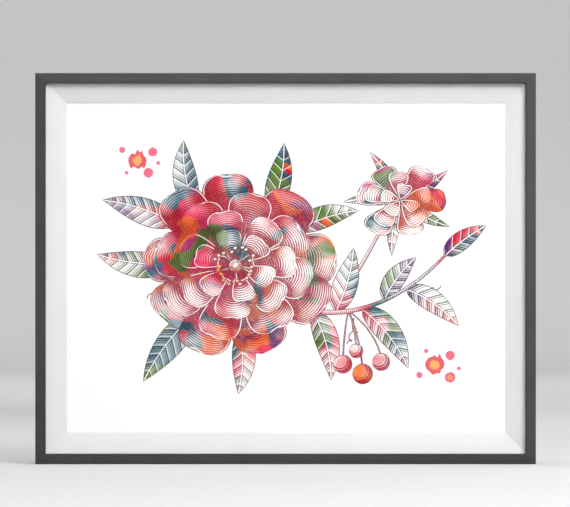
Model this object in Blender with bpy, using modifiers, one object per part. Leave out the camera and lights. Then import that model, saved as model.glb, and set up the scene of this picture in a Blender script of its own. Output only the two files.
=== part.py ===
# A framed print. Four mitred rails hold, from the front: a clear pane, a white liner
# that slopes down to the print, the print on its mount board, and a backing board
# with bendable tabs and a sawtooth hanger. Metres, +Z up, and the front faces -Y.
import bpy
import bmesh
from math import cos, pi, radians, sin
from mathutils import Matrix

# Frame, seen from the front
outerWidth = 0.457
outerHeight = 0.357
depth = 0.028
faceWidth = 0.0095    # width of a rail's face
wallWidth = 0.0060    # what is left of it behind the lip
lipDepth = 0.0028     # thickness of the lip that the pane rests against
outerRound = 0.0010
innerRound = 0.0013
rearChamfer = 0.0005

# What the frame holds
windowWidth = 0.401   # the print's visible part
windowHeight = 0.301
printWidth = 0.4064   # a 16 by 12 inch sheet
printHeight = 0.3048
inset = 0.0010        # room between the rails and what they hold
linerShiftX = 0.0005  # the liner sits a little off the middle
linerShiftZ = 0.0007
linerFlat = 0.0018    # the strip behind the lips, which the pane lies against
linerSlope = 0.0046   # how far the slope goes back
linerNose = 0.0004    # thickness of the liner's edge at the print
printPocket = 0.0010  # room around the print
paneThickness = 0.0020
paperThickness = 0.0004
boardThickness = 0.0019
backThickness = 0.0030
gap = 0.0003          # left between pieces that touch
mitreGap = 0.0002     # taken off the length of each mitred end

# Metal parts on the back
tabWidth = 0.0070
tabThickness = 0.0004
tabShown = 0.0085
tabDriven = 0.0045
tabTip = 0.0025
tabsAcross = (-0.150, 0.0, 0.150)
tabsUpright = (-0.085, 0.085)
hangerWidth = 0.0500
hangerHeight = 0.0110
hangerRaise = 0.0025
hangerArch = 0.0270   # length of the raised middle with its two bends
hangerBend = 0.0025
hangerThickness = 0.0010
hangerCorner = 0.0030
hangerDrop = 0.0260   # from the frame's top edge to the hanger's middle
toothCount = 7
toothPitch = 0.0028
toothDepth = 0.0018
rivetReach = 0.0200   # from the hanger's middle to each rivet
rivetHead = 0.0023    # radius of the domed head
rivetDome = 0.0011    # and its height
rivetShank = 0.0010
rivetPoint = 0.0003
rivetHole = 0.0013
rivetHoleFloor = 0.0005   # board left in front of a rivet's hole

# Distances behind the front face
paneFront = lipDepth + gap
linerFront = paneFront + paneThickness + gap
noseBack = linerFront + linerSlope + linerNose
printFront = noseBack + gap
boardFront = printFront + paperThickness + gap
linerBack = boardFront + boardThickness
backFront = linerBack + gap
backRear = backFront + backThickness
tabMiddle = backRear + gap + tabThickness / 2
hangerFront = backRear + gap

heldWidth = outerWidth - 2 * (wallWidth + inset)
heldHeight = outerHeight - 2 * (wallWidth + inset)
linerReach = (outerWidth - windowWidth) / 2 - wallWidth - inset


def clearScene():
    for thing in list(bpy.data.objects):
        bpy.data.objects.remove(thing)


def newCollection(name):
    made = bpy.data.collections.new(name)
    bpy.context.scene.collection.children.link(made)
    return made


def newMaterial(name, color, roughness, metallic=0.0, transmission=0.0):
    made = bpy.data.materials.new(name)
    made.use_nodes = True
    shader = made.node_tree.nodes["Principled BSDF"]
    shader.inputs["Base Color"].default_value = (*color, 1.0)
    shader.inputs["Roughness"].default_value = roughness
    shader.inputs["Metallic"].default_value = metallic
    shader.inputs["Transmission Weight"].default_value = transmission
    return made


clearScene()
parts = newCollection("framed_print")
cutters = newCollection("cutters")
charcoal = newMaterial("charcoal_lacquer", (0.085, 0.085, 0.087), 0.45)
white = newMaterial("white_liner", (0.82, 0.82, 0.81), 0.55)
clear = newMaterial("clear_pane", (1.0, 1.0, 1.0), 0.02, transmission=1.0)
paper = newMaterial("printed_paper", (0.94, 0.90, 0.89), 0.75)
card = newMaterial("mount_board", (0.86, 0.85, 0.81), 0.85)
fibreboard = newMaterial("brown_fibreboard", (0.29, 0.17, 0.09), 0.80)
steel = newMaterial("zinc_plated_steel", (0.62, 0.63, 0.64), 0.35, metallic=1.0)

# Everything hangs on an empty in the middle of the frame's front face
middle = bpy.data.objects.new("frame_middle", None)
middle.location = (0.0, -depth / 2, outerHeight / 2)
parts.objects.link(middle)


def place(thing, collection, parent=middle, location=(0, 0, 0), rotation=(0, 0, 0)):
    collection.objects.link(thing)
    thing.parent = parent
    thing.location = location
    thing.rotation_euler = rotation
    return thing


def helper(thing):
    thing.hide_render = True
    thing.display_type = "WIRE"
    return thing


def meshObject(name, bm, material=None):
    bmesh.ops.recalc_face_normals(bm, faces=bm.faces)
    mesh = bpy.data.meshes.new(name)
    bm.to_mesh(mesh)
    bm.free()
    mesh.shade_smooth()
    mesh.set_sharp_from_angle(angle=radians(30))
    if material:
        mesh.materials.append(material)
    return bpy.data.objects.new(name, mesh)


def cut(thing, cutter, operation="DIFFERENCE"):
    modifier = thing.modifiers.new(cutter.name, "BOOLEAN")
    modifier.operation = operation
    modifier.object = cutter


def arc(centerX, centerY, radius, start, end, steps):
    turns = [radians(start + (end - start) * i / steps) for i in range(steps + 1)]
    return [(centerX + radius * cos(t), centerY + radius * sin(t)) for t in turns]


def railOutline():
    # across the rail from its outer side, and back from its face
    outer = arc(outerRound, outerRound, outerRound, 180, 270, 5)
    inner = arc(faceWidth - innerRound, innerRound, innerRound, 270, 360, 6)
    return outer + inner + [
        (faceWidth, lipDepth),
        (wallWidth, lipDepth),
        (wallWidth, depth - rearChamfer),
        (wallWidth - rearChamfer, depth),
        (rearChamfer, depth),
        (0.0, depth - rearChamfer),
    ]


def linerOutline():
    # across the liner from the rail's wall, and back from the liner's flat strip
    pocket = (windowWidth - printWidth) / 2 + linerReach - printPocket
    back = linerBack - linerFront
    return [
        (0.0, 0.0),
        (linerFlat, 0.0),
        (linerReach, linerSlope),
        (linerReach, linerSlope + linerNose),
        (pocket, linerSlope + linerNose),
        (pocket, back),
        (0.0, back),
    ]


def mitred(name, outline, length, material):
    # The outline is drawn out to the full length, and each end is then sheared by
    # as much as its points lie inwards, which is a 45 degree mitre.
    bm = bmesh.new()
    start = [bm.verts.new((-length / 2, back, across)) for across, back in outline]
    drawn = bmesh.ops.extrude_face_region(bm, geom=[bm.faces.new(start)])
    end = [v for v in drawn["geom"] if isinstance(v, bmesh.types.BMVert)]
    bmesh.ops.translate(bm, verts=end, vec=(length, 0, 0))
    for vert in bm.verts:
        shear = vert.co.z + mitreGap
        vert.co.x += shear if vert.co.x < 0 else -shear
    return meshObject(name, bm, material)


def fourSides(prefix, outline, width, height, front, material, shift=(0, 0)):
    # Bottom, left, top and right, each turned a quarter about the frame's middle
    made = {}
    for turn, side in enumerate(("bottom", "left", "top", "right")):
        length, reach = ((width, height), (height, width))[turn % 2]
        angle = turn * pi / 2
        rail = mitred(f"{prefix}_{side}", outline, length, material)
        location = (
            shift[0] - sin(angle) * reach / 2,
            front,
            shift[1] - cos(angle) * reach / 2,
        )
        made[side] = place(rail, parts, location=location, rotation=(0, angle, 0))
    return made


def sheet(name, width, height, front, thickness, material, shift=(0, 0)):
    bm = bmesh.new()
    size = Matrix.Diagonal((width, thickness, height, 1.0))
    bmesh.ops.create_cube(bm, size=1.0, matrix=size)
    made = meshObject(name, bm, material)
    return place(made, parts, location=(shift[0], front + thickness / 2, shift[1]))


def flatOutline(name, loops, thickness):
    # A filled flat curve, with each further loop a hole in it
    curve = bpy.data.curves.new(name, "CURVE")
    curve.dimensions = "2D"
    curve.fill_mode = "BOTH"
    curve.extrude = thickness / 2
    for loop in loops:
        spline = curve.splines.new("POLY")
        spline.points.add(len(loop) - 1)
        spline.use_cyclic_u = True
        for point, (x, y) in zip(spline.points, loop):
            point.co = (x, y, 0.0, 1.0)
    return bpy.data.objects.new(name, curve)


def asMesh(curveObject):
    # The same shape as a closed mesh, for use with a Boolean
    name = curveObject.name
    parts.objects.link(curveObject)
    bpy.context.view_layer.update()
    evaluated = curveObject.evaluated_get(bpy.context.evaluated_depsgraph_get())
    mesh = bpy.data.meshes.new_from_object(evaluated)
    bpy.data.objects.remove(curveObject)
    bm = bmesh.new()
    bm.from_mesh(mesh)
    bmesh.ops.remove_doubles(bm, verts=bm.verts, dist=0.00001)
    return meshObject(name, bm)


def makeRails():
    return fourSides("rail", railOutline(), outerWidth, outerHeight, 0.0, charcoal)


def makeLiner():
    shift = (linerShiftX, linerShiftZ)
    fourSides("liner", linerOutline(), heldWidth, heldHeight, linerFront, white, shift)


def makePane():
    pane = sheet("glazing", heldWidth, heldHeight, paneFront, paneThickness, clear)
    arris = pane.modifiers.new("ground_edges", "BEVEL")
    arris.width = 0.0003
    arris.segments = 1


def makePrint():
    shift = (linerShiftX, linerShiftZ)
    sheet("art_print", printWidth, printHeight, printFront, paperThickness, paper, shift)
    sheet("mount_board", printWidth, printHeight, boardFront, boardThickness, card, shift)


def makeBack():
    board = sheet("backing_board", heldWidth, heldHeight, backFront, backThickness, fibreboard)
    holes = bmesh.new()
    for side in (-1, 1):
        spot = Matrix.Translation((side * rivetReach, backThickness / 2, 0.0))
        bmesh.ops.create_cone(
            holes, cap_ends=True, segments=24, radius1=rivetHole, radius2=rivetHole,
            depth=2 * (backThickness - rivetHoleFloor),
            matrix=spot @ Matrix.Rotation(pi / 2, 4, "X"),
        )
    drill = helper(meshObject("rivet_holes", holes))
    place(drill, cutters, parent=board, location=(0, 0, outerHeight / 2 - hangerDrop))
    cut(board, drill)


def tabOutline():
    # Round where it lies on the board, and tapered where it is driven into the rail
    half = tabWidth / 2
    tip = tabTip / 2
    shoulder = tabDriven / 2
    return arc(0.0, tabShown - half, half, 180, 0, 10) + [
        (half, -shoulder),
        (tip, -tabDriven),
        (-tip, -tabDriven),
        (-half, -shoulder),
    ]


def makeTabs(rails):
    for side, rail in rails.items():
        spots = tabsAcross if side in ("top", "bottom") else tabsUpright
        slots = bmesh.new()
        for number, along in enumerate(spots, 1):
            tab = flatOutline(f"tab_{side}_{number}", [tabOutline()], tabThickness)
            tab.data.materials.append(steel)
            place(tab, parts, parent=rail, location=(along, tabMiddle, wallWidth),
                  rotation=(pi / 2, 0, 0))
            # the slot starts a little outside the wall, so that it cuts cleanly
            low = wallWidth - tabDriven - gap
            high = wallWidth + 0.001
            size = (tabWidth + 2 * gap, tabThickness + 2 * gap, high - low)
            spot = Matrix.Translation((along, tabMiddle, (low + high) / 2))
            bmesh.ops.create_cube(slots, size=1.0, matrix=spot @ Matrix.Diagonal((*size, 1.0)))
        cutter = helper(meshObject(f"tab_slots_{side}", slots))
        place(cutter, cutters, parent=rail)
        cut(rail, cutter)


def hangerSilhouette():
    # Rounded ends, a toothed lower edge under the raised middle, and two rivet holes
    halfWidth = hangerWidth / 2
    halfHeight = hangerHeight / 2
    corner = hangerCorner
    upper = arc(halfWidth - corner, halfHeight - corner, corner, 0, 90, 6)
    upper += arc(corner - halfWidth, halfHeight - corner, corner, 90, 180, 6)
    lower = arc(corner - halfWidth, corner - halfHeight, corner, 180, 270, 6)
    first = -toothCount * toothPitch / 2
    for tooth in range(toothCount):
        left = first + tooth * toothPitch
        lower += [(left, -halfHeight), (left + toothPitch / 2, toothDepth - halfHeight)]
    lower.append((-first, -halfHeight))
    lower += arc(halfWidth - corner, corner - halfHeight, corner, 270, 360, 6)
    holes = [arc(side * rivetReach, 0.0, rivetHole, 0, 345, 23) for side in (-1, 1)]
    return [upper + lower] + holes


def makeHanger():
    # A strip that steps up to its raised middle, trimmed to the silhouette
    halfArch = hangerArch / 2
    ends = hangerWidth / 2 + hangerBend
    steps = [(-ends, 0.0), (-halfArch, 0.0), (hangerBend - halfArch, hangerRaise),
             (halfArch - hangerBend, hangerRaise), (halfArch, 0.0), (ends, 0.0)]
    bm = bmesh.new()
    low = [bm.verts.new((x, y, -hangerHeight)) for x, y in steps]
    line = [bm.edges.new(pair) for pair in zip(low, low[1:])]
    drawn = bmesh.ops.extrude_edge_only(bm, edges=line)
    top = [v for v in drawn["geom"] if isinstance(v, bmesh.types.BMVert)]
    bmesh.ops.translate(bm, verts=top, vec=(0, 0, 2 * hangerHeight))
    hanger = meshObject("hanger", bm, steel)
    # the strip's faces must look towards the board for the plate to grow away from it
    if hanger.data.polygons[0].normal.y > 0:
        hanger.data.flip_normals()
    plate = hanger.modifiers.new("plate", "SOLIDIFY")
    plate.thickness = hangerThickness
    plate.offset = -1.0
    plate.use_even_offset = True
    drop = (0, hangerFront, outerHeight / 2 - hangerDrop)
    place(hanger, parts, location=drop)
    silhouette = flatOutline("hanger_trim", hangerSilhouette(), 2 * hangerHeight)
    trim = helper(asMesh(silhouette))
    place(trim, cutters, parent=hanger, rotation=(pi / 2, 0, 0))
    cut(hanger, trim, "INTERSECT")


def makeRivets():
    # Domed head, and a shank that ends inside the backing board
    shankLength = hangerThickness + gap + backThickness - rivetHoleFloor - gap
    dome = arc(0.0, 0.0, 1.0, 90, 0, 6)
    profile = [(rivetHead * x, rivetDome * z) for x, z in dome]
    profile += [(rivetShank, 0.0), (rivetShank, rivetPoint - shankLength), (0.0, -shankLength)]
    for side, name in ((-1, "rivet_left"), (1, "rivet_right")):
        mesh = bpy.data.meshes.new(name)
        edges = [(i, i + 1) for i in range(len(profile) - 1)]
        mesh.from_pydata([(x, 0.0, z) for x, z in profile], edges, [])
        mesh.materials.append(steel)
        rivet = bpy.data.objects.new(name, mesh)
        turned = rivet.modifiers.new("turned", "SCREW")
        turned.steps = 24
        turned.render_steps = 24
        turned.use_merge_vertices = True
        turned.merge_threshold = 0.00001
        turned.use_smooth_shade = True
        spot = (side * rivetReach, hangerFront + hangerThickness + gap, outerHeight / 2 - hangerDrop)
        place(rivet, parts, location=spot, rotation=(-pi / 2, 0, 0))


rails = makeRails()
makePane()
makeLiner()
makePrint()
makeBack()
makeTabs(rails)
makeHanger()
makeRivets()
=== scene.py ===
import bpy
import bmesh
import random
import numpy
from math import cos, pi, radians, sin, sqrt
from mathutils import Matrix, Vector
from mathutils.geometry import delaunay_2d_cdt


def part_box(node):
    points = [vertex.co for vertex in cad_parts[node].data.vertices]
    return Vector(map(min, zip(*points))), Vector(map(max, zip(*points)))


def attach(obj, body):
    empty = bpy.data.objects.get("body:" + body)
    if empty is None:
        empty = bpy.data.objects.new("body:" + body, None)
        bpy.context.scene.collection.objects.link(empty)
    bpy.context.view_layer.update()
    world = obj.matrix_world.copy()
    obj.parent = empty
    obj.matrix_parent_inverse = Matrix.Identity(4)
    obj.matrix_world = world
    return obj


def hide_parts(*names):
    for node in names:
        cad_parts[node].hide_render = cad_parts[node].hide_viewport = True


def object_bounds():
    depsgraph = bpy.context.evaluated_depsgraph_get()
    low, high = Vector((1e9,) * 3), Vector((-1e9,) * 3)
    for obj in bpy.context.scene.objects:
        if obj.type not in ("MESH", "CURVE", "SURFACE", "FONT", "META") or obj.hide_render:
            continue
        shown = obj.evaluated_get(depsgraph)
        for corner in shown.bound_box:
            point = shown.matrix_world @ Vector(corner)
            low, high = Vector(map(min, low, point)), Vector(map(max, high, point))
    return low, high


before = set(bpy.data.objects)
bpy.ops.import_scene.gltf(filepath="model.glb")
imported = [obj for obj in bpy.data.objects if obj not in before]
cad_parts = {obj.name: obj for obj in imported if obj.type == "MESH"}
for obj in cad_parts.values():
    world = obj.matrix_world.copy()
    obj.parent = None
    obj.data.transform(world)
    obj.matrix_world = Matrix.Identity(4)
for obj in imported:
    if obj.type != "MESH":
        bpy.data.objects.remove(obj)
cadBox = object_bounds()
print("loaded", len(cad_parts), "solids")

sides = ("bottom", "left", "top", "right")
low, high = (Vector(corner) for corner in cadBox)
outerWidth = high.x - low.x
outerHeight = high.z - low.z
frontFace = low.y
middle = Vector((0.0, frontFace, outerHeight / 2))


# Node helpers: a wire is a value in a node tree that can be used in sums
class Wire:
    def __init__(self, tree, socket):
        self.tree = tree
        self.socket = socket

    def __add__(self, other):
        return calc(self.tree, "ADD", self, other)

    def __sub__(self, other):
        return calc(self.tree, "SUBTRACT", self, other)

    def __rsub__(self, other):
        return calc(self.tree, "SUBTRACT", other, self)

    def __mul__(self, other):
        return calc(self.tree, "MULTIPLY", self, other)

    def __truediv__(self, other):
        return calc(self.tree, "DIVIDE", self, other)

    __radd__ = __add__
    __rmul__ = __mul__


def plug(tree, value, socket):
    if isinstance(value, Wire):
        tree.links.new(value.socket, socket)
    elif value is not None:
        socket.default_value = value


def addNode(tree, kind, inputs=None, **settings):
    made = tree.nodes.new(kind)
    for name, value in settings.items():
        setattr(made, name, value)
    for name, value in (inputs or {}).items():
        plug(tree, value, made.inputs[name])
    return made


def calc(tree, operation, a, b=None, c=None):
    made = tree.nodes.new("ShaderNodeMath")
    made.operation = operation
    for socket, value in zip(made.inputs, (a, b, c)):
        plug(tree, value, socket)
    return Wire(tree, made.outputs[0])


def ramp(value, start, end, lowest=0.0, highest=1.0):
    # a smooth step from one value to the other
    made = addNode(value.tree, "ShaderNodeMapRange", interpolation_type="SMOOTHSTEP")
    for socket, given in zip(made.inputs, (value, start, end, lowest, highest)):
        plug(value.tree, given, socket)
    return Wire(value.tree, made.outputs[0])


def mixColor(tree, amount, a, b, kind="MIX"):
    made = tree.nodes.new("ShaderNodeMix")
    made.data_type = "RGBA"
    made.blend_type = kind
    for place, value in ((0, amount), (6, a), (7, b)):
        if isinstance(value, tuple):
            value = (*value, 1.0)
        plug(tree, value, made.inputs[place])
    return Wire(tree, made.outputs[2])


def objectPoint(tree, stretch=(1.0, 1.0, 1.0), offset=(0.0, 0.0, 0.0)):
    coordinate = tree.nodes.new("ShaderNodeTexCoord")
    mapping = tree.nodes.new("ShaderNodeMapping")
    tree.links.new(coordinate.outputs["Object"], mapping.inputs["Vector"])
    mapping.inputs["Scale"].default_value = stretch
    mapping.inputs["Location"].default_value = offset
    return Wire(tree, mapping.outputs[0])


def noise(tree, point, scale, detail=3.0, roughness=0.5, distortion=0.0):
    made = addNode(tree, "ShaderNodeTexNoise", {
        "Vector": point, "Scale": scale, "Detail": detail,
        "Roughness": roughness, "Distortion": distortion,
    })
    return Wire(tree, made.outputs["Fac"])


def storedValues(tree, name):
    # the three numbers that the mesh stores under a name
    read = addNode(tree, "ShaderNodeAttribute", attribute_name=name)
    stored = Wire(tree, read.outputs["Vector"])
    split = addNode(tree, "ShaderNodeSeparateXYZ", {"Vector": stored})
    return [Wire(tree, output) for output in split.outputs]


def bump(tree, height, distance, strength=1.0):
    made = addNode(tree, "ShaderNodeBump", {
        "Height": height, "Distance": distance, "Strength": strength,
    })
    return Wire(tree, made.outputs[0])


def newMaterial(name, **fixed):
    made = bpy.data.materials.new(name)
    made.use_nodes = True
    tree = made.node_tree
    shader = tree.nodes["Principled BSDF"]
    for label, value in fixed.items():
        shader.inputs[label.replace("_", " ")].default_value = value
    return made, tree, shader.inputs


# Mesh helpers
def link(name, bm, material, *nodes, slot=None, smooth=30):
    # hands a finished bmesh over as a piece that stands for the named solids
    mesh = bpy.data.meshes.new(name)
    bm.to_mesh(mesh)
    bm.free()
    mesh.shade_smooth()
    mesh.set_sharp_from_angle(angle=radians(smooth))
    mesh.materials.append(material)
    piece = bpy.data.objects.new(name, mesh)
    bpy.context.scene.collection.objects.link(piece)
    if nodes:
        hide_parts(*nodes)
    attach(piece, "root")
    return piece


def dress(prefix, material):
    for name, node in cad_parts.items():
        if name.startswith(prefix):
            node.data.materials.clear()
            node.data.materials.append(material)


def arc(centerX, centerY, radius, start, end, steps):
    turns = [radians(start + (end - start) * i / steps) for i in range(steps + 1)]
    return [(centerX + radius * cos(t), centerY + radius * sin(t)) for t in turns]


# Camera, straight in front and a little below the frame's middle, with a small shift
view = {
    "distance": 4.5,
    "pixel": 0.0009127,     # metres a pixel at the frame's face
    "size": (570, 507),
    "frameMiddle": (285.55, 268.6),
    "horizon": 288.0,
}


def makeCamera():
    camera = bpy.data.objects.new("camera", bpy.data.cameras.new("camera"))
    bpy.context.scene.collection.objects.link(camera)
    width, height = view["size"]
    column, row = view["frameMiddle"]
    eyeHeight = middle.z - (view["horizon"] - row) * view["pixel"]
    eyeSide = -(column - width / 2) * view["pixel"]
    camera.location = (eyeSide, frontFace - view["distance"], eyeHeight)
    camera.rotation_euler = (pi / 2, 0.0, 0.0)
    camera.data.sensor_width = 36.0
    camera.data.lens = 36.0 * view["distance"] / (width * view["pixel"])
    camera.data.shift_y = (view["horizon"] - height / 2) / width
    camera.data.clip_start = 0.05
    bpy.context.scene.camera = camera


# Studio: a pale floor that curves up into a round backdrop, and soft lights over it
studio = {
    "floorRadius": 5.4,
    "cove": 0.7,
    "wallHeight": 2.2,
    "floorColor": (0.92, 0.92, 0.92),
    "wallColor": (0.78, 0.78, 0.78),
    "world": 0.24,
}


def makeStudio():
    material, tree, inputs = newMaterial("studioPaper", Roughness=0.9)
    point = objectPoint(tree)
    split = addNode(tree, "ShaderNodeSeparateXYZ", {"Vector": point})
    rise = ramp(Wire(tree, split.outputs["Z"]), 0.0, studio["cove"])
    paper = mixColor(tree, rise, studio["floorColor"], studio["wallColor"])
    grain = mixColor(tree, noise(tree, point, 3.0), (0.98, 0.98, 0.98), (1.0, 1.0, 1.0))
    inputs["Specular IOR Level"].default_value = 0.1
    tree.links.new(mixColor(tree, 1.0, paper, grain, "MULTIPLY").socket, inputs["Base Color"])
    bm = bmesh.new()
    radius = studio["floorRadius"]
    cove = studio["cove"]
    line = [(0.0, 0.0), (radius, 0.0)]
    line += arc(radius, cove, cove, 270, 360, 12)[1:]
    line.append((radius + cove, studio["wallHeight"]))
    verts = [bm.verts.new((x, 0.0, z)) for x, z in line]
    edges = [bm.edges.new(pair) for pair in zip(verts, verts[1:])]
    bmesh.ops.spin(bm, geom=verts + edges, cent=(0, 0, 0), axis=(0, 0, 1),
                   angle=2 * pi, steps=96, use_merge=True)
    bmesh.ops.remove_doubles(bm, verts=bm.verts, dist=0.0001)
    bmesh.ops.recalc_face_normals(bm, faces=bm.faces)
    mesh = bpy.data.meshes.new("backdrop")
    bm.to_mesh(mesh)
    bm.free()
    mesh.shade_smooth()
    mesh.materials.append(material)
    backdrop = bpy.data.objects.new("backdrop", mesh)
    bpy.context.scene.collection.objects.link(backdrop)
    world = bpy.data.worlds.new("studio")
    bpy.context.scene.world = world
    world.use_nodes = True
    sky = world.node_tree.nodes["Background"].inputs
    sky["Color"].default_value = (1.0, 1.0, 1.0, 1.0)
    sky["Strength"].default_value = studio["world"]
    bpy.context.scene.view_settings.view_transform = "Standard"


# where each lamp is, what it faces, its size and its power
lights = {
    "key": {"at": (0.95, -1.75, 1.62), "to": (0.0, 0.0, 0.18), "size": 0.9, "power": 27.0},
    "fill": {"at": (-0.3, -3.4, 1.4), "to": (0.0, 0.0, 0.18), "size": 0.9, "power": 11.0},
    "top": {"at": (0.0, 0.1, 2.4), "to": (0.0, 0.0, 0.18), "size": 1.8, "power": 20.0},
    "back": {"at": (0.6, 1.9, 1.5), "to": (0.0, 0.0, 0.18), "size": 1.2, "power": 9.0},
    "wall": {"at": (0.0, 2.5, 2.7), "to": (0.0, 6.1, 1.9), "size": 2.4, "power": 60.0},
}


def makeLights():
    for name, given in lights.items():
        data = bpy.data.lights.new(name, "AREA")
        data.size = given["size"]
        data.energy = given["power"]
        lamp = bpy.data.objects.new(name, data)
        bpy.context.scene.collection.objects.link(lamp)
        lamp.location = given["at"]
        aim = Vector(given["to"]) - lamp.location
        lamp.rotation_euler = aim.to_track_quat("-Z", "Y").to_euler()
        lamp.visible_camera = False


makeCamera()
makeStudio()
makeLights()
print("camera, studio and lights")


# Rails: the same section as the solids, with finer rounds and closer mitres
railShape = {
    "face": 0.0095,
    "wall": 0.0060,
    "lip": 0.0028,
    "outerRound": 0.0010,
    "innerRound": 0.0013,
    "rearChamfer": 0.0005,
    "mitre": 0.00004,
    "roundSpan": (0.00003, 0.0006),        # how far behind the face the rounds' points lie
    "colors": ((0.068, 0.068, 0.069), (0.083, 0.083, 0.084)),
    # painted shade towards the bottom of the frame
    "lowShadeColor": (0.02, 0.02, 0.02),
    # painted shade on the rails' rounds
    "roundShadeColor": (0.016, 0.016, 0.016),
    # painted shade: each rail side gets its own lighter or darker copy of the lacquer, for the
    # light falling on that side
    "paintedSideShades": (0.82, 0.77, 0.93, 1.00),    # bottom, left, top, right
}


def lacquer(shade):
    # satin charcoal paint: faint clouding and a fine orange peel, with painted shade on the
    # rounds, towards the bottom and per rail side
    material, tree, inputs = newMaterial("charcoalLacquer", Metallic=0.0)
    inputs["Specular IOR Level"].default_value = 0.4
    point = objectPoint(tree)
    dark, pale = (tuple(v * shade for v in color) for color in railShape["colors"])
    cloud = ramp(noise(tree, point, 35.0, 4.0, 0.6), 0.3, 0.7)
    # painted shade: the paint darkens towards the frame's bottom
    split = addNode(tree, "ShaderNodeSeparateXYZ", {"Vector": point})
    paintedLowShade = ramp(Wire(tree, split.outputs["Z"]), 0.0, outerHeight, 0.3, 0.0)
    color = mixColor(tree, paintedLowShade, mixColor(tree, cloud, dark, pale), railShape["lowShadeColor"])
    # painted shade: the rounds, which turn away from the light, are darkened in patches
    edge, _, _ = storedValues(tree, "section")
    roundShade = ramp(edge, 0.2, 1.0) * ramp(noise(tree, point, 260.0, 4.0, 0.6), 0.3, 0.7, 0.55, 0.80)
    color = mixColor(tree, roundShade, color, railShape["roundShadeColor"])
    tree.links.new(color.socket, inputs["Base Color"])
    dapple = noise(tree, point, 900.0, 3.0, 0.6)
    tree.links.new(ramp(dapple + cloud * 0.3, 0.3, 0.9, 0.44, 0.58).socket, inputs["Roughness"])
    tree.links.new(bump(tree, dapple, 0.00002, 0.6).socket, inputs["Normal"])
    return material


def railOutline():
    shape = railShape
    outer = arc(shape["outerRound"], shape["outerRound"], shape["outerRound"], 180, 270, 8)
    bend = shape["innerRound"]
    inner = arc(shape["face"] - bend, bend, bend, 270, 360, 9)
    depth = high.y - low.y
    chamfer = shape["rearChamfer"]
    return outer + inner + [
        (shape["face"], shape["lip"]),
        (shape["wall"], shape["lip"]),
        (shape["wall"], depth - chamfer),
        (shape["wall"] - chamfer, depth),
        (chamfer, depth),
        (0.0, depth - chamfer),
    ]


def mitredBar(outline, length, mitre):
    # across and back from the bar's outer front corner; the ends are sheared to 45 degrees
    bm = bmesh.new()
    start = [bm.verts.new((-length / 2, back, across)) for across, back in outline]
    drawn = bmesh.ops.extrude_face_region(bm, geom=[bm.faces.new(start)])
    end = [v for v in drawn["geom"] if isinstance(v, bmesh.types.BMVert)]
    bmesh.ops.translate(bm, verts=end, vec=(length, 0, 0))
    for vert in bm.verts:
        shear = vert.co.z + mitre
        vert.co.x += shear if vert.co.x < 0 else -shear
    bmesh.ops.recalc_face_normals(bm, faces=bm.faces)
    return bm


def placeBar(bm, turn, center, width, height):
    # bottom, left, top and right are quarter turns about the frame's middle
    reach = width if turn % 2 else height
    angle = turn * pi / 2
    inward = Vector((sin(angle), 0.0, cos(angle)))
    bmesh.ops.rotate(bm, verts=bm.verts, cent=(0, 0, 0), matrix=Matrix.Rotation(angle, 3, "Y"))
    bmesh.ops.translate(bm, verts=bm.verts, vec=center - inward * reach / 2)


def makeRails():
    for turn, side in enumerate(sides):
        length = outerHeight if turn % 2 else outerWidth
        bm = mitredBar(railOutline(), length, railShape["mitre"])
        # marks the rounds, which get painted shade
        section = bm.verts.layers.float_vector.new("section")
        first, last = railShape["roundSpan"]
        for vert in bm.verts:
            onRound = first < vert.co.y < last
            vert[section] = (1.0 if onRound else 0.0, 0.0, 0.0)
        placeBar(bm, turn, middle, outerWidth, outerHeight)
        # this rail's lacquer is scaled by its side's painted shade
        material = lacquer(railShape["paintedSideShades"][turn])
        link(f"lacquered_rail_{side}", bm, material, f"rail_{side}", slot="rail_lacquer")


makeRails()
print("rails")


# Liner: a flat strip behind the lips, a slope down to the print, and a thin cut edge
linerShape = {
    "flat": 0.0018,
    "slope": 0.0046,
    "nose": 0.0004,
    "mitre": 0.00002,
    "easing": 0.0004,      # rounding where the strip turns into the slope
    "pocketRoom": 0.0015,  # room behind the liner around the sheet
    "colors": ((0.640, 0.640, 0.637), (0.668, 0.668, 0.663)),
}


def paintedLiner():
    material, tree, inputs = newMaterial("whiteLiner", Metallic=0.0)
    point = objectPoint(tree)
    cloud = noise(tree, point, 22.0, 3.0)
    fine = noise(tree, point, 1400.0, 2.0, 0.6)
    color = mixColor(tree, cloud, *linerShape["colors"])
    tree.links.new(color.socket, inputs["Base Color"])
    tree.links.new(ramp(fine, 0.3, 0.7, 0.48, 0.62).socket, inputs["Roughness"])
    tree.links.new(bump(tree, fine, 0.000015, 0.5).socket, inputs["Normal"])
    return material


def makeLiner():
    boxLow, boxHigh = (Vector(corner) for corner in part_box("liner_bottom"))
    left, right = (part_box(f"liner_{side}") for side in ("left", "right"))
    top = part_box("liner_top")
    width = right[1][0] - left[0][0]
    height = top[1][2] - boxLow.z
    center = Vector(((left[0][0] + right[1][0]) / 2, boxLow.y, boxLow.z + height / 2))
    reach = boxHigh.z - boxLow.z
    back = boxHigh.y - boxLow.y
    strip = linerShape["flat"]
    ease = linerShape["easing"]
    fall = linerShape["slope"] / (reach - strip)
    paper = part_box("art_print")
    pocket = paper[0][2] - boxLow.z - linerShape["pocketRoom"]
    outline = [
        (0.0, 0.0),
        (strip - ease, 0.0),
        (strip - ease * 0.2, ease * fall * 0.2),
        (strip + ease, ease * fall),
        (reach, linerShape["slope"]),
        (reach, linerShape["slope"] + linerShape["nose"]),
        (pocket, linerShape["slope"] + linerShape["nose"]),
        (pocket, back),
        (0.0, back),
    ]
    material = paintedLiner()
    for turn, side in enumerate(sides):
        bm = mitredBar(outline, height if turn % 2 else width, linerShape["mitre"])
        placeBar(bm, turn, center, width, height)
        link(f"white_liner_{side}", bm, material, f"liner_{side}", slot="liner_white", smooth=12)


makeLiner()
print("liner")


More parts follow.
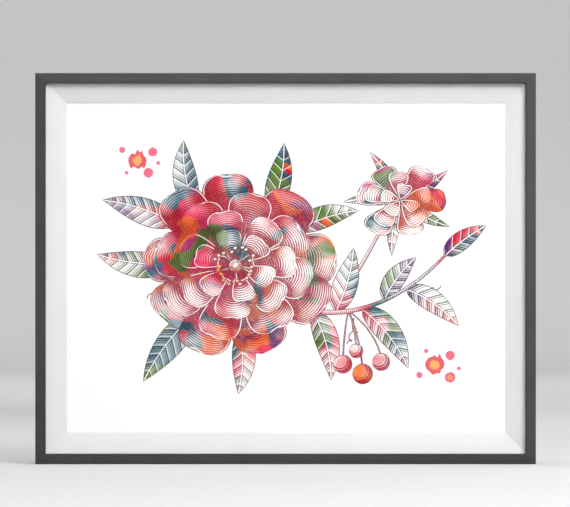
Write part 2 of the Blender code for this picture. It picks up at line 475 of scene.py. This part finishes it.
# Print: a botanical plate, drawn flat. Each petal, leaf and stem is a strip of small
# cells on the sheet in painter's order, and the sheet is cut where they overlap. Every
# face then knows where it lies along and across its own strip, for the engraved lines.
plate = {
    "seed": 11,
    "rows": 14,            # cells along a leaf or a petal
    "columns": 4,          # and across it
    "hatch": 2.35,         # millimetres between engraved lines
    "forward": 0.00025,    # brings the sheet up against the liner
    "thinnest": 0.12,      # half width of a strip's ends
    "finest": 3.0,         # radius under which a dot gets fewer cells
    "kinds": {"leaf": 1, "petal": 2, "stem": 3, "berry": 4, "spot": 5},
    "bloom": {
        "center": (-46.0, 2.0),
        "tilt": 0.90,
        "stamens": 20,
        "stamenLength": (12.0, 18.0),
        "stamenTip": 1.9,
        "heart": 6.2,
        "seeds": 9,
        "seedRing": (3.9, 3.6),
        "seedSize": 1.2,
        # petals, length, half width, start, twist in degrees, shade, part under the next ring
        "rings": (
            (9, 82.0, 30.0, 8.0, 10.0, 0.00, 0.72),
            (8, 66.0, 26.0, 7.0, 34.0, 0.02, 0.68),
            (7, 50.0, 21.0, 6.0, 5.0, 0.05, 0.60),
            (6, 33.0, 15.0, 5.0, 40.0, 0.10, 0.40),
            (5, 17.0, 9.5, 0.0, 20.0, 0.45, 0.80),
        ),
    },
    "second": {
        "center": (104.0, 62.0),
        "tilt": 0.82,
        "stamens": 0,
        "rings": (
            (6, 38.0, 16.0, 4.0, 52.0, 0.00, 0.62),
            (5, 29.0, 13.0, 3.0, 18.0, 0.05, 0.50),
            (4, 19.0, 9.5, 0.0, 64.0, 0.12, 0.20),
        ),
    },
    # angles of the narrow leaves behind the second bloom, and their length and half width
    "secondLeaves": ((20, 110, 170, 250, 320), 52.0, 9.5),
    "branch": ((-20.0, -22.0), (35.0, -58.0), (98.0, -40.0), (146.0, 12.0)),
    "secondStem": ((20.0, -36.0), (66.0, -24.0), (70.0, 12.0), (102.0, 60.0)),
    # base, angle, length, half width, bend in degrees, fold
    "backLeaves": (
        ((-100.0, 40.0), 150.0, 72.0, 20.0, 24.0, 0.75),
        ((-104.0, 4.0), 184.0, 70.0, 19.0, -22.0, 0.80),
        ((-84.0, 56.0), 112.0, 62.0, 17.0, -26.0, 0.85),
        ((-84.0, -42.0), 222.0, 78.0, 21.0, 22.0, 0.70),
        ((-42.0, -58.0), 280.0, 58.0, 17.0, -24.0, 0.80),
        ((-14.0, 52.0), 66.0, 64.0, 18.0, 26.0, 0.80),
        ((10.0, 34.0), 30.0, 60.0, 17.0, -24.0, 0.75),
    ),
    # place along the branch, angle, length, half width, bend, fold
    "branchLeaves": (
        (0.26, -60.0, 66.0, 18.0, -30.0, 0.75),
        (0.38, 62.0, 62.0, 18.0, 24.0, 0.80),
        (0.52, -38.0, 70.0, 19.0, -28.0, 0.70),
        (0.64, 66.0, 50.0, 15.0, -26.0, 0.80),
        (0.76, -20.0, 60.0, 16.5, -30.0, 0.75),
        (0.99, 44.0, 48.0, 13.5, -16.0, 0.85),
    ),
    "berries": ((52.0, -88.0, 8.6), (70.0, -97.0, 9.4), (87.0, -86.0, 8.2), (64.0, -76.0, 6.6)),
    "tendrils": (
        ((62.0, -46.0), 255.0, 5.0, 2.1),
        ((118.0, -24.0), 20.0, -4.4, 1.9),
        ((-104.0, -20.0), 200.0, -4.8, 2.0),
    ),
    "spots": (
        (-136.0, 98.0, 8.4, 0.30), (-150.0, 108.0, 2.8, 0.1), (-122.0, 106.0, 4.2, 0.10),
        (-126.0, 87.0, 4.4, 0.1), (-117.0, 96.0, 1.8, 0.0), (-146.0, 87.0, 1.7, 0.0),
        (136.0, -88.0, 8.8, 0.32), (150.0, -80.0, 4.2, 0.10), (150.0, -100.0, 4.8, 0.1),
        (122.0, -98.0, 2.8, 0.1), (158.0, -92.0, 1.8, 0.0), (128.0, -76.0, 2.0, 0.0),
    ),
}
chance = random.Random(plate["seed"])
drawn = {"points": [], "unit": [], "cells": [], "owner": [], "strips": []}


def arcPath(base, angle, length, bend):
    # a path that leaves its base at one angle and turns by the bend on its way
    start = radians(angle)
    turn = radians(bend) if abs(bend) > 0.1 else 0.002
    radius = length / turn
    return lambda t: (
        base[0] + radius * (sin(start + turn * t) - sin(start)),
        base[1] - radius * (cos(start + turn * t) - cos(start)),
    )


def curvePath(points):
    a, b, c, d = (Vector(point) for point in points)

    def path(t):
        u = 1 - t
        return a * u ** 3 + b * 3 * t * u ** 2 + c * 3 * t * t * u + d * t ** 3

    return path


def leafWidth(t):
    return 2.05 * t ** 0.62 * (1.0 - t) ** 0.95


def petalWidth(t):
    return 1.16 * t ** 0.70 * sqrt(max(0.0, 1.0 - t ** 7))


def roundWidth(t):
    return 2.0 * sqrt(max(0.0, t * (1.0 - t)))


def strip(path, width, half, kind, shade=0.0, fold=1.0, ruffle=0.0, ragged=0.0,
          warp=None, cells=None, cover=0.0):
    rows, columns = cells or (plate["rows"], plate["columns"])
    stops = [i / rows for i in range(rows + 1)]
    if kind == "petal":
        stops = [sin(stop * pi / 2) for stop in stops]
    if kind in ("berry", "spot"):
        stops = [(1.0 - cos(stop * pi)) / 2 for stop in stops]
    points = [Vector(path(t)) for t in stops]
    length = sum((b - a).length for a, b in zip(points, points[1:]))
    phase = chance.uniform(0.0, 2 * pi)
    first = len(drawn["points"])
    for row, (t, here) in enumerate(zip(stops, points)):
        ahead = (points[min(row + 1, rows)] - points[max(row - 1, 0)]).normalized()
        aside = Vector((ahead.y, -ahead.x))
        for column in range(columns + 1):
            w = 2.0 * column / columns - 1.0
            reach = max(plate["thinnest"], width(t) * half) * (fold if w > 0.0 else 1.0)
            reach *= 1.0 + ragged * chance.uniform(-1.0, 1.0)
            wave = ruffle * sin(3.2 * w + phase) * t ** 3 * min(1.0, 2.0 * width(t))
            place = here + aside * (w * reach) + ahead * (wave * length)
            drawn["points"].append(warp(place) if warp else place)
            drawn["unit"].append((t, w, reach))
    for row in range(rows):
        for column in range(columns):
            a = first + row * (columns + 1) + column
            b = a + columns + 1
            drawn["cells"] += [(a, a + 1, b + 1), (a, b + 1, b)]
            drawn["owner"] += [len(drawn["strips"])] * 2
    drawn["strips"].append((plate["kinds"][kind], chance.random(), shade, length, cover))


def dot(x, y, radius, kind="berry", shade=0.0, ragged=0.0):
    cells = (12, 4) if radius > plate["finest"] else (6, 2)
    strip(arcPath((x - radius, y), 0.0, 2 * radius, 0.0), roundWidth, radius, kind, shade,
          ragged=ragged, cells=cells)


def drawLeaf(base, angle, length, half, bend, fold, shade=0.0):
    strip(arcPath(base, angle, length, bend), leafWidth, half, "leaf", shade, fold, ruffle=0.01)


def drawBloom(bloom):
    center = Vector(bloom["center"])

    def tilt(place):
        return Vector((place.x, center.y + (place.y - center.y) * bloom["tilt"]))

    for count, length, half, start, twist, shade, cover in bloom["rings"]:
        for number in range(count):
            angle = twist + 360.0 * number / count + chance.uniform(-5.0, 5.0)
            turn = radians(angle)
            base = center + Vector((cos(turn), sin(turn))) * start
            long = length * chance.uniform(0.93, 1.05)
            strip(arcPath(base, angle, long, chance.uniform(-14.0, 14.0)), petalWidth,
                  half * chance.uniform(0.92, 1.06), "petal",
                  shade + chance.uniform(0.0, 0.1), fold=chance.uniform(0.82, 1.0),
                  ruffle=0.02, warp=tilt, cells=(16, 6), cover=cover)
    count = bloom["stamens"]
    if not count:
        return
    for number in range(count):
        angle = 360.0 * number / count + chance.uniform(-6.0, 6.0)
        turn = radians(angle)
        far = chance.uniform(*bloom["stamenLength"])
        base = center + Vector((cos(turn), sin(turn))) * 2.0
        strip(arcPath(base, angle, far, 8.0), lambda t: 1.0, 0.5, "stem", 0.4,
              warp=tilt, cells=(3, 2))
        tip = tilt(base + Vector((cos(turn), sin(turn))) * far)
        dot(tip.x, tip.y, bloom["stamenTip"], "berry", 1.0)
    dot(center.x, center.y, bloom["heart"], "berry", 1.0)
    ringX, ringY = bloom["seedRing"]
    for number in range(bloom["seeds"]):
        turn = 2 * pi * number / bloom["seeds"]
        dot(center.x + ringX * cos(turn), center.y + ringY * sin(turn),
            bloom["seedSize"], "berry", 0.0)


def coil(base, angle, radius, turns):
    # a tendril: it runs out and winds in on itself
    start = radians(angle)

    def path(t):
        reach = 24.0 * t
        loop = radius * (1.0 - 0.75 * t)
        wind = start + turns * 2 * pi * t * t
        return (
            base[0] + reach * cos(start) + loop * (sin(wind) - sin(start)),
            base[1] + reach * sin(start) - loop * (cos(wind) - cos(start)),
        )

    return path


def drawPlant():
    branch = curvePath(plate["branch"])
    for tendril in plate["tendrils"]:
        strip(coil(*tendril), lambda t: 1.0 - 0.4 * t, 0.75, "stem", 0.2, cells=(60, 2))
    strip(curvePath(plate["secondStem"]), lambda t: 1.0 - 0.3 * t, 2.2, "stem", cells=(16, 2))
    for leaf in plate["backLeaves"]:
        drawLeaf(*leaf)
    for x, y, radius in plate["berries"]:
        start = branch(0.45)
        sag = (start.x * 0.4 + x * 0.6, start.y * 0.75 + y * 0.25)
        stalk = curvePath((start, sag, (x, y + 14.0), (x, y)))
        strip(stalk, lambda t: 1.0, 0.85, "stem", 0.2, cells=(10, 2))
    for place, *leaf in plate["branchLeaves"]:
        drawLeaf(branch(place), *leaf)
    strip(branch, lambda t: 1.0 - 0.55 * t, 3.0, "stem", cells=(24, 2))
    x, y = plate["second"]["center"]
    angles, length, half = plate["secondLeaves"]
    for angle in angles:
        drawLeaf((x, y), angle, length, half, 24.0, 0.85)
    drawBloom(plate["second"])
    for x, y, radius in plate["berries"]:
        dot(x, y, radius)
    drawBloom(plate["bloom"])
    for x, y, radius, ragged in plate["spots"]:
        dot(x, y, radius, "spot", ragged=ragged)


def topCells(places):
    # for each place the last drawn cell that covers it, or -1 on bare paper
    order = numpy.argsort(places[:, 0])
    x, y = places[order].T
    found = numpy.full(len(places), -1)
    for number, cell in enumerate(drawn["cells"]):
        corners = numpy.array([drawn["points"][i] for i in cell])
        first, last = numpy.searchsorted(x, (corners[:, 0].min(), corners[:, 0].max()))
        turns = []
        for here, there in zip(corners, numpy.roll(corners, -1, axis=0)):
            step = there - here
            turns.append(step[0] * (y[first:last] - here[1]) - step[1] * (x[first:last] - here[0]))
        inside = (numpy.min(turns, axis=0) >= 0) | (numpy.max(turns, axis=0) <= 0)
        found[first:last][inside] = number
    top = numpy.empty_like(found)
    top[order] = found
    return top


def valuesAt(place, cell):
    # the drawn values at a place inside one cell
    a, b, c = (drawn["points"][i] for i in cell)
    total = (b - a).cross(c - a)
    second = (place - a).cross(c - a) / total
    third = (b - a).cross(place - a) / total
    shares = (1.0 - second - third, second, third)
    return sum((Vector(drawn["unit"][i]) * share for i, share in zip(cell, shares)), Vector())


def dropHidden():
    # leaves out the cells that later ones cover, which keeps the cut sheet small
    spots = [(i / 6, j / 6) for i in range(7) for j in range(7 - i)]
    cells = numpy.array([[drawn["points"][i] for i in cell] for cell in drawn["cells"]])
    middles = cells.mean(axis=1, keepdims=True)
    a, b, c = numpy.moveaxis(middles + (cells - middles) * 0.98, 1, 0)
    places = [a + (b - a) * u + (c - a) * v for u, v in spots]
    tops = topCells(numpy.concatenate(places))
    seen = set(tops.tolist())
    kept = [number for number in range(len(cells)) if number in seen]
    for name in ("cells", "owner"):
        drawn[name] = [drawn[name][number] for number in kept]


def makePrint():
    drawPlant()
    dropHidden()
    paperLow, paperHigh = (Vector(corner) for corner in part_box("art_print"))
    center = (paperLow + paperHigh) / 2
    half = (paperHigh - paperLow) * 500
    rim = [Vector((x * half.x, z * half.z)) for x, z in ((-1, -1), (1, -1), (1, 1), (-1, 1))]
    count = len(drawn["points"])
    outlines = [tuple(range(count, count + 4))] + drawn["cells"]
    flat, _, faces, *_ = delaunay_2d_cdt(drawn["points"] + rim, [], outlines, 1, 0.0001)
    centers = [sum((flat[i] for i in corners), Vector((0, 0))) / 3 for corners in faces]
    places = numpy.array(centers)
    tops = topCells(places)
    bm = bmesh.new()
    front = paperLow.y - plate["forward"]
    verts = [bm.verts.new((center.x + p.x / 1000, front, center.z + p.y / 1000)) for p in flat]
    unit = bm.loops.layers.float_vector.new("unit")
    plant = bm.faces.layers.float_vector.new("plant")
    size = bm.faces.layers.float_vector.new("plantSize")
    for corners, top in zip(faces, tops.tolist()):
        face = bm.faces.new([verts[i] for i in corners])
        if top < 0:
            continue
        kind, seed, shade, length, cover = drawn["strips"][drawn["owner"][top]]
        face[plant] = (kind, seed, shade)
        face[size] = (length, cover, 0.0)
        for loop, i in zip(face.loops, corners):
            loop[unit] = valuesAt(flat[i], drawn["cells"][top])
    edges = [edge for edge in bm.edges if edge.is_boundary]
    rear = bmesh.ops.extrude_edge_only(bm, edges=edges)["geom"]
    bmesh.ops.translate(bm, verts=[v for v in rear if isinstance(v, bmesh.types.BMVert)],
                        vec=(0, paperHigh.y - paperLow.y, 0))
    bmesh.ops.edgeloop_fill(bm, edges=[e for e in rear if isinstance(e, bmesh.types.BMEdge)])
    bmesh.ops.recalc_face_normals(bm, faces=bm.faces)
    print("print:", len(bm.faces), "faces")
    link("botanical_print", bm, printedPaper(), "art_print", slot="print_paper")


pigments = {
    "crimson": (0.68, 0.006, 0.035),
    "rose": (0.80, 0.040, 0.13),
    "orange": (0.92, 0.16, 0.02),
    "gold": (0.90, 0.33, 0.02),
    "magenta": (0.36, 0.006, 0.12),
    "teal": (0.003, 0.125, 0.165),
    "violet": (0.12, 0.025, 0.16),
    "green": (0.11, 0.21, 0.03),
    "line": (0.055, 0.010, 0.030),       # outlines
    "ink": (0.45, 0.28, 0.40),           # darkens a wash to the ink of its engraved lines
    "paper": ((0.855, 0.855, 0.85), (0.88, 0.88, 0.875)),
}


def printedPaper():
    # watercolour washes under engraved lines of the same colours, on smooth white paper
    material, tree, inputs = newMaterial("printedPaper", Roughness=0.82)
    inputs["Specular IOR Level"].default_value = 0.08

    def absolute(value):
        return calc(tree, "ABSOLUTE", value)

    def fraction(value):
        return calc(tree, "FRACT", value)

    def most(a, b):
        return calc(tree, "MAXIMUM", a, b)

    def least(a, b):
        return calc(tree, "MINIMUM", a, b)

    def hatching(phase, weight):
        # engraved lines, as thick as the weight says, and none where it is near zero
        saw = absolute(fraction(phase) - 0.5) * 2.0
        return ramp(saw, 1.08 - weight, 1.36 - weight)

    t, w, half = storedValues(tree, "unit")
    kind, _, shade = storedValues(tree, "plant")
    length, cover, _ = storedValues(tree, "plantSize")
    isLeaf, isPetal, isStem, isBerry, isSpot = (
        calc(tree, "COMPARE", kind, float(number), 0.4) for number in plate["kinds"].values())
    isDrawn = ramp(kind, 0.2, 0.8)
    point = objectPoint(tree)
    wobble = noise(tree, point, 90.0, 3.0) - 0.5
    along = t * length + wobble * 1.4
    across = w * half
    outward = absolute(across)
    pitch = plate["hatch"]

    # leaves: a bare midrib, side veins every fourth line, and hatching that fades between them
    leafPhase = (along - outward * 0.85) / pitch
    vein = fraction(leafPhase / 4.0)
    leafTone = ramp(vein, 1.0, 0.05, 0.32, 0.95) + ramp(w, -0.1, 0.1, -0.12, 0.18)
    leafTone = leafTone + ramp(t, 0.35, 0.0, 0.0, 0.35)
    leafLines = hatching(leafPhase, leafTone)
    bare = most(ramp(outward, 0.75, 0.35), ramp(vein, 0.13, 0.06) * ramp(t, 0.96, 0.85)) * isLeaf
    midrib = ramp(absolute(outward - 1.0), 0.55, 0.2)

    # petals: cross contours that bow towards the tip, darker where the next petals lie over
    petalPhase = (along + half * w * w * 0.55) / pitch
    cloud = noise(tree, point, 38.0, 3.0) - 0.5
    petalTone = ramp(t - cover, 0.24, 0.0, 0.34, 1.05) + ramp(w, 0.1, 1.0, 0.0, 0.45)
    petalTone = petalTone + ramp(w, -0.6, -1.0, 0.0, 0.35) + ramp(t, 0.90, 1.0, 0.0, 0.30)
    petalTone = petalTone + cloud * 1.5 + shade
    petalLines = hatching(petalPhase, petalTone)
    strokes = w * half / 2.3 + wobble * 0.6
    strokeTone = ramp(t - cover - cloud * 0.6, 0.16, -0.06, 0.0, 0.62)
    petalLines = most(petalLines, hatching(strokes, strokeTone))

    # stems: lines round the form, darker away from the light
    stemTone = ramp(w, -0.9, 0.9, 0.25, 1.0)
    stemLines = hatching((along + half * w * w) / (pitch * 0.85), stemTone)

    # berries and drops: a light spot to the upper left and lines that follow the rim
    x = t * 2.0 - 1.0
    y = w * calc(tree, "SQRT", most(1.0 - x * x, 0.0))
    rimward = calc(tree, "SQRT", x * x + y * y)
    lit = calc(tree, "SQRT", (x + 0.32) * (x + 0.32) + (y + 0.34) * (y + 0.34))
    berryLines = hatching(lit * length / 2.0 / pitch, ramp(lit, 0.25, 1.25, 0.0, 1.15))

    lines = leafLines * isLeaf + petalLines * isPetal + stemLines * isStem + berryLines * isBerry
    edge = least((1.0 - absolute(w)) * half, least(t, 1.0 - t) * length + 0.3)
    edge = edge + (noise(tree, point, 300.0, 2.0) - 0.5) * 0.5
    outline = ramp(edge, 0.95, 0.45) * (1.0 - isSpot)
    # the pale rim of a petal comes and goes
    rimmed = ramp(noise(tree, point, 26.0, 2.0), 0.44, 0.50)
    bare = most(bare, ramp(edge, 0.9, 1.15) * ramp(edge, 2.2, 1.7) * isPetal * rimmed)
    ink = most(most(lines, midrib * isLeaf * 0.8) * (1.0 - bare), outline)

    # the washes: broad patches with partly crisp rims
    def patch(scale, start, end, shift, bias=0.0):
        place = objectPoint(tree, offset=(shift, shift * 0.7, shift * 1.9))
        return ramp(noise(tree, place, scale, 3.0, 0.45, 0.9) + bias, start, end)

    color = mixColor(tree, patch(20.0, 0.51, 0.57, 0.0), pigments["crimson"], pigments["rose"])
    color = mixColor(tree, patch(16.0, 0.57, 0.61, 3.1), color, pigments["magenta"])
    color = mixColor(tree, patch(24.0, 0.575, 0.61, 7.7), color, pigments["orange"])
    color = mixColor(tree, patch(21.0, 0.595, 0.62, 11.3, isLeaf * 0.10), color, pigments["teal"])
    color = mixColor(tree, patch(15.0, 0.59, 0.65, 17.9, isLeaf * 0.05), color, pigments["violet"])
    color = mixColor(tree, patch(23.0, 0.62, 0.66, 23.3, isLeaf * 0.11), color, pigments["green"])
    color = mixColor(tree, isBerry * ramp(shade, 0.5, 0.6), color, pigments["gold"])
    core = ramp(rimward + cloud, 0.62, 0.46)
    large = ramp(length, 9.0, 10.0)
    drop = mixColor(tree, large, pigments["rose"], pigments["crimson"])
    drop = mixColor(tree, large, pigments["rose"], mixColor(tree, core, drop, pigments["gold"]))
    color = mixColor(tree, isSpot, color, drop)
    strength = patch(13.0, 0.39, 0.64, 29.0)
    rim = absolute(strength - 0.5)
    strength = strength * 0.92 + 0.04 + isLeaf * 0.06 + ramp(rim, 0.12, 0.0, 0.0, 0.14)
    strength = most(strength, isSpot * 0.88)
    white = mixColor(tree, noise(tree, point, 420.0, 2.0), *pigments["paper"])
    wash = mixColor(tree, strength * isDrawn * (1.0 - bare * 0.85), white, color)
    deep = mixColor(tree, 1.0, color, pigments["ink"], "MULTIPLY")
    deep = mixColor(tree, outline * 0.75, deep, pigments["line"])
    worn = ramp(noise(tree, point, 700.0, 2.0), 0.25, 0.5, 0.75, 1.0)
    ink = ink * (1.0 - isSpot) * isDrawn * worn
    result = mixColor(tree, ink * 0.94, wash, deep)
    tree.links.new(result.socket, inputs["Base Color"])
    tooth = noise(tree, point, 1600.0, 3.0, 0.65)
    tree.links.new(bump(tree, tooth, 0.00002, 0.35).socket, inputs["Normal"])
    return material


makePrint()
print("print")


# Pane: clear and smooth; the light passes it, so that it casts no shadow of its own
def makePane():
    material, tree, inputs = newMaterial(
        "clearPane", IOR=1.25, Transmission_Weight=1.0, Base_Color=(1.0, 1.0, 1.0, 1.0))
    haze = ramp(noise(tree, objectPoint(tree), 9.0, 2.0), 0.35, 0.65, 0.015, 0.03)
    tree.links.new(haze.socket, inputs["Roughness"])
    dress("glazing", material)
    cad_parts["glazing"].visible_shadow = False


makePane()
print("pane")


# Back: fibreboard, card, and pressed steel fixings
def fibreboard():
    # pressed brown fibres with paler streaks and dark flecks
    material, tree, inputs = newMaterial("fibreboard", Roughness=0.78)
    inputs["Specular IOR Level"].default_value = 0.3
    point = objectPoint(tree)
    cloud = noise(tree, point, 14.0, 4.0, 0.55)
    color = mixColor(tree, cloud, (0.250, 0.150, 0.078), (0.350, 0.220, 0.120))
    fibres = noise(tree, objectPoint(tree, stretch=(0.35, 1.0, 1.0)), 900.0, 3.0, 0.7, 0.6)
    color = mixColor(tree, ramp(fibres, 0.35, 0.65, 0.0, 0.55), color, (0.47, 0.32, 0.19))
    flecks = ramp(noise(tree, point, 420.0, 2.0, 0.5), 0.66, 0.74)
    color = mixColor(tree, flecks * 0.6, color, (0.10, 0.055, 0.03))
    tree.links.new(color.socket, inputs["Base Color"])
    tree.links.new(bump(tree, fibres, 0.00005, 0.4).socket, inputs["Normal"])
    return material


def mountCard():
    material, tree, inputs = newMaterial("mountCard", Roughness=0.85)
    grain = noise(tree, objectPoint(tree), 600.0, 3.0, 0.6)
    tree.links.new(mixColor(tree, grain, (0.72, 0.70, 0.64), (0.80, 0.78, 0.73)).socket,
                   inputs["Base Color"])
    tree.links.new(bump(tree, grain, 0.00003, 0.3).socket, inputs["Normal"])
    return material


def zincSteel(name, stretch):
    # rolled steel with a dull zinc coat: faint streaks along the strip and soft spangles
    material, tree, inputs = newMaterial(name, Metallic=1.0)
    streaks = noise(tree, objectPoint(tree, stretch=stretch), 1100.0, 3.0, 0.6)
    spangle = noise(tree, objectPoint(tree), 210.0, 4.0, 0.6)
    color = mixColor(tree, spangle, (0.50, 0.50, 0.49), (0.66, 0.66, 0.64))
    color = mixColor(tree, ramp(streaks, 0.35, 0.65, 0.0, 0.35), color, (0.40, 0.395, 0.38))
    tree.links.new(color.socket, inputs["Base Color"])
    tree.links.new(ramp(streaks + spangle, 0.6, 1.4, 0.30, 0.48).socket, inputs["Roughness"])
    tree.links.new(bump(tree, streaks, 0.00001, 0.4).socket, inputs["Normal"])
    return material


hangerShape = {
    "width": 0.0500,
    "height": 0.0110,
    "corner": 0.0030,
    "thickness": 0.0010,
    "raise": 0.0025,
    "arch": 0.0270,
    "bend": 0.0025,
    "teeth": 7,
    "pitch": 0.0028,
    "toothDepth": 0.0018,
    "holeAt": 0.0200,
    "hole": 0.0013,
    "edge": 0.00016,       # rounding of the pressed edges
}


def hangerLoops():
    shape = hangerShape
    across = shape["width"] / 2 - shape["corner"]
    up = shape["height"] / 2 - shape["corner"]
    outline = arc(across, up, shape["corner"], 0, 90, 8)
    outline += arc(-across, up, shape["corner"], 90, 180, 8)
    outline += arc(-across, -up, shape["corner"], 180, 270, 8)
    first = -shape["teeth"] * shape["pitch"] / 2
    for tooth in range(shape["teeth"]):
        left = first + tooth * shape["pitch"]
        outline += [(left, -shape["height"] / 2),
                    (left + shape["pitch"] / 2, shape["toothDepth"] - shape["height"] / 2)]
    outline.append((-first, -shape["height"] / 2))
    outline += arc(across, -up, shape["corner"], 270, 360, 8)
    holes = [arc(side * shape["holeAt"], 0.0, shape["hole"], 0, 345, 23) for side in (-1, 1)]
    return [outline] + holes


def makeHanger():
    shape = hangerShape
    boxLow, boxHigh = (Vector(corner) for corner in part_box("hanger"))
    bm = bmesh.new()
    for loop in hangerLoops():
        verts = [bm.verts.new((x, 0.0, z)) for x, z in loop]
        for pair in zip(verts, verts[1:] + verts[:1]):
            bm.edges.new(pair)
    bmesh.ops.triangle_fill(bm, edges=bm.edges, use_beauty=True, use_dissolve=False)
    half = shape["arch"] / 2
    for side in (-1, 1):
        for step in range(7):
            at = side * (half - shape["bend"] * step / 6)
            bmesh.ops.bisect_plane(bm, geom=bm.verts[:] + bm.edges[:] + bm.faces[:],
                                   plane_co=(at, 0, 0), plane_no=(1, 0, 0))
    for vert in bm.verts:
        t = min(max((half - abs(vert.co.x)) / shape["bend"], 0.0), 1.0)
        vert.co.y = -shape["thickness"] + shape["raise"] * (t * 0.7 + 0.3 * t * t * (3 - 2 * t))
    sheet = bmesh.ops.extrude_face_region(bm, geom=bm.faces[:])
    bmesh.ops.translate(bm, verts=[v for v in sheet["geom"] if isinstance(v, bmesh.types.BMVert)],
                        vec=(0, shape["thickness"], 0))
    bmesh.ops.recalc_face_normals(bm, faces=bm.faces)
    place = Vector(((boxLow.x + boxHigh.x) / 2, boxLow.y + shape["thickness"],
                    (boxLow.z + boxHigh.z) / 2))
    bmesh.ops.translate(bm, verts=bm.verts, vec=place)
    hanger = link("pressed_hanger", bm, zincSteel("hangerSteel", (0.05, 1.0, 1.0)), "hanger",
                  slot="fixing_steel")
    edges = hanger.modifiers.new("edges", "BEVEL")
    edges.width = shape["edge"]
    edges.segments = 2
    edges.limit_method = "ANGLE"
    edges.angle_limit = radians(40)
    edges.harden_normals = True


dress("backing_board", fibreboard())
dress("mount_board", mountCard())
smallSteel = zincSteel("tabSteel", (1.0, 1.0, 0.05))
for prefix in ("tab_", "rivet_"):
    dress(prefix, smallSteel)
makeHanger()
print("back")
